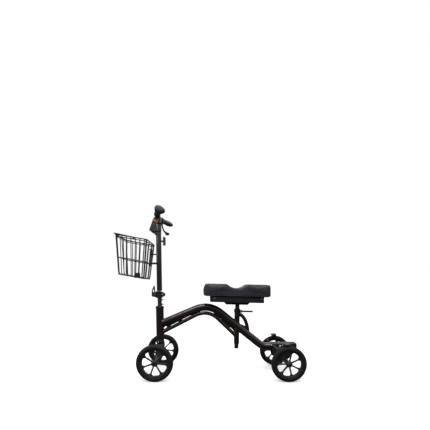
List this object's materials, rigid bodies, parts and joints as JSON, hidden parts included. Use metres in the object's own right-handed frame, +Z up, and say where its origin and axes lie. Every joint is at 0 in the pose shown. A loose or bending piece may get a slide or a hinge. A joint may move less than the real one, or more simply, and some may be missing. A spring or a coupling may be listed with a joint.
{
  "type": "knee scooter",
  "caption": "Folding knee scooter on spoked wheels with a curved tube frame, sliding knee rest, folding steering column, brake levers and a front basket.",
  "frame": {"origin": "on the floor, at the middle of the scooter's length and width", "axes": "+X forward, towards the basket and front wheels; +Y to the rider's left; +Z up"},
  "size_m": [1.0484, 0.46, 0.9396],
  "materials": {
    "frame_paint": "gloss",
    "black_paint": "satin",
    "column_paint": "satin",
    "steel": "satin",
    "moulded_plastic": "matte",
    "rim_plastic": "satin",
    "tyre": "matte",
    "grip_rubber": "matte",
    "orange_plastic": "satin",
    "wire_coating": "satin",
    "upholstery": "satin"
  },
  "bodies": {
    "frame": {"upper_tube": "frame_paint", "lower_tube": "frame_paint", "front_web": "frame_paint", "rear_web": "frame_paint", "gusset_arc": "frame_paint", "tail_box": "frame_paint", "tail_bolt_front": "steel", "tail_bolt_rear": "steel", "tail_plate_left": "black_paint", "tail_plate_right": "black_paint", "rear_axle": "black_paint", "rear_axle_nut": "black_paint", "rear_axle_tube": "black_paint", "head_tube": "frame_paint", "head_bearing_lower": "black_paint", "head_bearing_upper": "black_paint", "seat_tube": "frame_paint", "seat_collar": "black_paint"},
    "fork": {"steering_shaft": "column_paint", "fork_crown": "black_paint", "stop_screw_upper": "black_paint", "stop_screw_lower": "black_paint", "fold_base": "black_paint", "fold_pin": "steel", "front_axle": "black_paint", "front_axle_nut": "black_paint", "front_axle_tube": "black_paint"},
    "fold_lever": {"fold_lever": "moulded_plastic"},
    "column": {"fold_head": "black_paint", "column_tube": "column_paint", "column_collar": "moulded_plastic", "basket_bracket": "black_paint"},
    "height_knob": {"height_knob": "moulded_plastic"},
    "basket": {"basket": "wire_coating"},
    "basket_handle": {"basket_handle": "wire_coating"},
    "stem": {"stem_tube": "column_paint", "stem_housing": "moulded_plastic", "handlebar": "black_paint", "grip_left": "grip_rubber", "grip_right": "grip_rubber", "lever_bracket_left": "moulded_plastic", "lever_bracket_right": "moulded_plastic"},
    "release_button": {"release_button": "orange_plastic"},
    "brake_lever_left": {"brake_lever_left": "black_paint"},
    "brake_lever_right": {"brake_lever_right": "black_paint"},
    "brake_arm_left": {"brake_arm_left": "black_paint"},
    "brake_arm_right": {"brake_arm_right": "black_paint"},
    "knee_rest": {"cushion": "upholstery", "knee_tray": "moulded_plastic", "knee_bracket": "moulded_plastic", "knee_post": "black_paint"},
    "clamp_handle": {"clamp_handle": "black_paint"},
    "wheel_front_left": {"tyre_front_left": "tyre", "rim_front_left": "rim_plastic"},
    "wheel_front_right": {"tyre_front_right": "tyre", "rim_front_right": "rim_plastic"},
    "wheel_rear_left": {"tyre_rear_left": "tyre", "rim_rear_left": "rim_plastic"},
    "wheel_rear_right": {"tyre_rear_right": "tyre", "rim_rear_right": "rim_plastic"}
  },
  "joints": [
    {"name": "steering", "type": "hinge", "parent": "frame", "child": "fork", "pos_m": [0.2868, 0, 0.29996], "axis": [0.0166, 0, 0.9999], "range_deg": [-50, 50]},
    {"name": "column_fold", "type": "hinge", "parent": "fork", "child": "column", "pos_m": [0.26887, 0, 0.46128], "axis": [0, -1, 0], "range_deg": [0, 70]},
    {"name": "fold_lever_open", "type": "hinge", "parent": "fork", "child": "fold_lever", "pos_m": [0.32238, 0, 0.45539], "axis": [0, 1, 0], "range_deg": [0, 70]},
    {"name": "stem_slide", "type": "slide", "parent": "column", "child": "stem", "axis": [0.0166, 0, 0.9999], "range_m": [0, 0.15]},
    {"name": "knob_spin", "type": "hinge", "parent": "column", "child": "height_knob", "pos_m": [0.2747, 0, 0.77623], "axis": [0.9999, 0, -0.0166], "continuous": true},
    {"name": "basket_lift", "type": "slide", "parent": "column", "child": "basket", "axis": [0.0166, 0, 0.9999], "range_m": [0, 0.06]},
    {"name": "basket_handle_swing", "type": "hinge", "parent": "basket", "child": "basket_handle", "pos_m": [0.41169, 0, 0.77485], "axis": [0, -1, 0], "range_deg": [0, 90]},
    {"name": "button_press", "type": "slide", "parent": "stem", "child": "release_button", "axis": [-0.9333, 0, -0.3592], "range_m": [0, 0.004], "stiffness_N_per_m": 500, "springref_m": -0.002},
    {"name": "brake_lever_left_pull", "type": "hinge", "parent": "stem", "child": "brake_lever_left", "pos_m": [0.28673, 0.092, 0.89904], "axis": [0.9999, 0, -0.0166], "range_deg": [0, 9], "stiffness_Nm_per_rad": 0.6, "springref_deg": -17.19},
    {"name": "brake_arm_left_press", "type": "hinge", "parent": "frame", "child": "brake_arm_left", "pos_m": [-0.37517, 0.1, 0.168], "axis": [0, -1, 0], "range_deg": [0, 3.7]},
    {"name": "brake_lever_right_pull", "type": "hinge", "parent": "stem", "child": "brake_lever_right", "pos_m": [0.28673, -0.092, 0.89904], "axis": [-0.9999, 0, 0.0166], "range_deg": [0, 9], "stiffness_Nm_per_rad": 0.6, "springref_deg": -17.19},
    {"name": "brake_arm_right_press", "type": "hinge", "parent": "frame", "child": "brake_arm_right", "pos_m": [-0.37517, -0.1, 0.168], "axis": [0, -1, 0], "range_deg": [0, 3.7]},
    {"name": "wheel_front_left_spin", "type": "hinge", "parent": "fork", "child": "wheel_front_left", "pos_m": [0.29083, 0.19, 0.1], "axis": [0, 1, 0], "continuous": true},
    {"name": "wheel_front_right_spin", "type": "hinge", "parent": "fork", "child": "wheel_front_right", "pos_m": [0.29083, -0.19, 0.1], "axis": [0, 1, 0], "continuous": true},
    {"name": "wheel_rear_left_spin", "type": "hinge", "parent": "frame", "child": "wheel_rear_left", "pos_m": [-0.42917, 0.19, 0.095], "axis": [0, 1, 0], "continuous": true},
    {"name": "wheel_rear_right_spin", "type": "hinge", "parent": "frame", "child": "wheel_rear_right", "pos_m": [-0.42917, -0.19, 0.095], "axis": [0, 1, 0], "continuous": true},
    {"name": "knee_slide", "type": "slide", "parent": "frame", "child": "knee_rest", "axis": [0.0237, 0, -0.9997], "range_m": [-0.12, 0]},
    {"name": "clamp_handle_swing", "type": "hinge", "parent": "frame", "child": "clamp_handle", "pos_m": [-0.19578, 0, 0.36228], "axis": [-0.0237, 0, 0.9997], "range_deg": [0, 80]}
  ],
  "couplings": [
    {"joint": "brake_arm_left_press", "follows": "brake_lever_left_pull", "ratio": 0.4},
    {"joint": "brake_arm_right_press", "follows": "brake_lever_right_pull", "ratio": 0.4}
  ]
}
